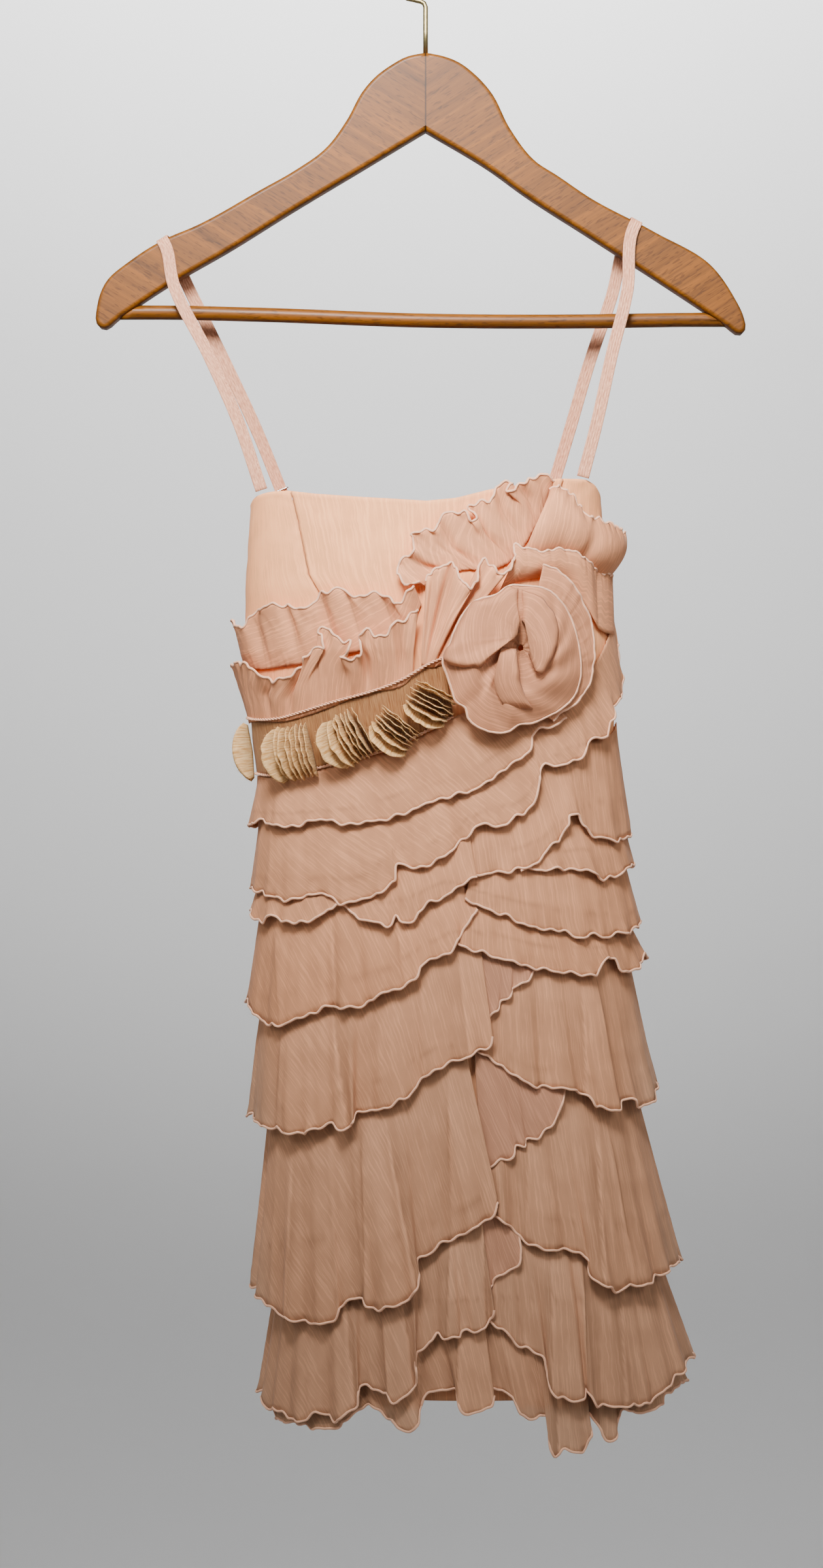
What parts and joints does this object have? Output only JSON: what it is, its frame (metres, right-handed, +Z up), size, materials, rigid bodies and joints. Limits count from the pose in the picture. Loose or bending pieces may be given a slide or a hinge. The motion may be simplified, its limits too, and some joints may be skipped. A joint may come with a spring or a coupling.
{
  "type": "evening gown on a wooden hanger",
  "caption": "Short strapped evening gown of crinkled chiffon with ruffled tiers, a rosette and a waist ribbon, hung on a wooden hanger with a wire hook.",
  "frame": {"origin": "where the hook bears on a rail: the inside top of the hook's ring", "axes": "+Z up along the hanging dress, -Y the dress's front, +X the side with the rosette"},
  "size_m": [0.446, 0.1764, 1.0358],
  "materials": {
    "band_right": "crinkled matt",
    "bodice_back_left": "crinkled matt",
    "bodice_back_right": "crinkled matt",
    "bodice_front": "crinkled matt",
    "bodice_side_left": "crinkled matt",
    "bodice_side_right": "crinkled matt",
    "fan_centre": "crinkled matt",
    "frill_lower": "crinkled matt",
    "frill_shoulder": "crinkled matt",
    "frill_upper": "crinkled matt",
    "hanger_arm_left": "satin varnish",
    "hanger_arm_right": "satin varnish",
    "hanger_bar": "satin varnish",
    "hanger_hook": "antique",
    "petals_1": "frayed raw silk",
    "petals_2": "frayed raw silk",
    "petals_3": "frayed raw silk",
    "petals_4": "frayed raw silk",
    "petals_5": "frayed raw silk",
    "puff_right": "crinkled matt",
    "ribbon": "raw silk",
    "ring_left": "polished",
    "ring_right": "polished",
    "rosette_bowl": "crinkled matt",
    "rosette_flounce": "crinkled matt",
    "rosette_loop": "crinkled matt",
    "rosette_petal_left": "crinkled matt",
    "rosette_petal_right": "crinkled matt",
    "slip_back": "crinkled matt",
    "slip_front": "crinkled matt",
    "strap_left": "corded",
    "strap_right": "corded",
    "tier_1": "crinkled matt",
    "tier_2": "crinkled matt",
    "tier_3_left": "crinkled matt",
    "tier_3_right": "crinkled matt",
    "tier_4_lower": "crinkled matt",
    "tier_4_upper": "crinkled matt",
    "tier_5_left": "crinkled matt",
    "tier_5_right": "crinkled matt",
    "tier_6_fold": "crinkled matt",
    "tier_6_left": "crinkled matt",
    "tier_6_right": "crinkled matt",
    "tier_7_fold": "crinkled matt",
    "tier_7_left": "crinkled matt",
    "tier_7_right": "crinkled matt",
    "tier_8_fold": "crinkled matt",
    "tier_8_left": "crinkled matt",
    "tier_8_right": "crinkled matt",
    "tier_9_left": "crinkled matt",
    "tier_9_right": "crinkled matt"
  },
  "bodies": {
    "root": {"band_right": "band_right", "bodice_back_left": "bodice_back_left", "bodice_back_right": "bodice_back_right", "bodice_front": "bodice_front", "bodice_side_left": "bodice_side_left", "bodice_side_right": "bodice_side_right", "fan_centre": "fan_centre", "frill_lower": "frill_lower", "frill_shoulder": "frill_shoulder", "frill_upper": "frill_upper", "hanger_arm_left": "hanger_arm_left", "hanger_arm_right": "hanger_arm_right", "hanger_bar": "hanger_bar", "hanger_hook": "hanger_hook", "petals_1": "petals_1", "petals_2": "petals_2", "petals_3": "petals_3", "petals_4": "petals_4", "petals_5": "petals_5", "puff_right": "puff_right", "ribbon": "ribbon", "ring_left": "ring_left", "ring_right": "ring_right", "rosette_bowl": "rosette_bowl", "rosette_flounce": "rosette_flounce", "rosette_loop": "rosette_loop", "rosette_petal_left": "rosette_petal_left", "rosette_petal_right": "rosette_petal_right", "slip_back": "slip_back", "slip_front": "slip_front", "strap_left": "strap_left", "strap_right": "strap_right", "tier_1": "tier_1", "tier_2": "tier_2", "tier_3_left": "tier_3_left", "tier_3_right": "tier_3_right", "tier_4_lower": "tier_4_lower", "tier_4_upper": "tier_4_upper", "tier_5_left": "tier_5_left", "tier_5_right": "tier_5_right", "tier_6_fold": "tier_6_fold", "tier_6_left": "tier_6_left", "tier_6_right": "tier_6_right", "tier_7_fold": "tier_7_fold", "tier_7_left": "tier_7_left", "tier_7_right": "tier_7_right", "tier_8_fold": "tier_8_fold", "tier_8_left": "tier_8_left", "tier_8_right": "tier_8_right", "tier_9_left": "tier_9_left", "tier_9_right": "tier_9_right"}
  },
  "joints": []
}
